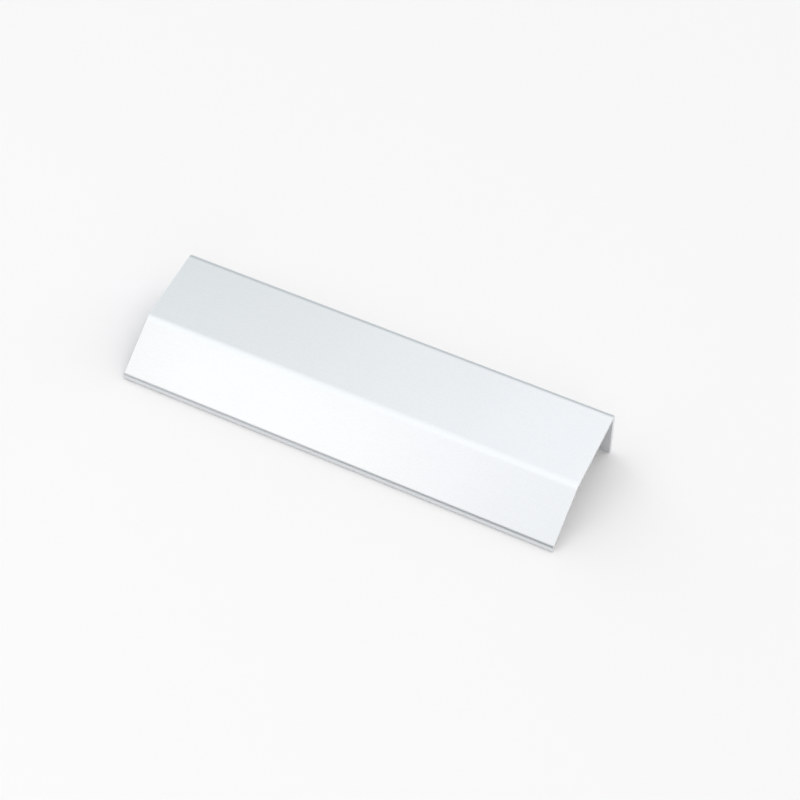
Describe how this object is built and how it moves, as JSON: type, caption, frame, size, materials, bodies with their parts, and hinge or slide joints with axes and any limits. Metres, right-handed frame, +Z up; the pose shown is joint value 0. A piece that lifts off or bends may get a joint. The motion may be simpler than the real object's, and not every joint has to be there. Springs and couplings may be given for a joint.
{
  "type": "edge pull",
  "caption": "Edge pull of bent aluminium profile: a screw leg and square flange hook over the edge of a door or drawer front, and a sloping lip with a turned-down nose is gripped.",
  "frame": {"origin": "on the floor, in the middle of the footprint of the pull as it lies on the foot of its leg and its nose", "axes": "+X along the length, the lip and nose face -Y, the screw leg is at +Y, +Z up"},
  "size_m": [0.15, 0.0481, 0.0204],
  "materials": {
    "anodised_aluminium": "satin, clear-anodised, fine lines along the length"
  },
  "bodies": {
    "root": {"edge_pull": "anodised_aluminium"}
  },
  "joints": []
}
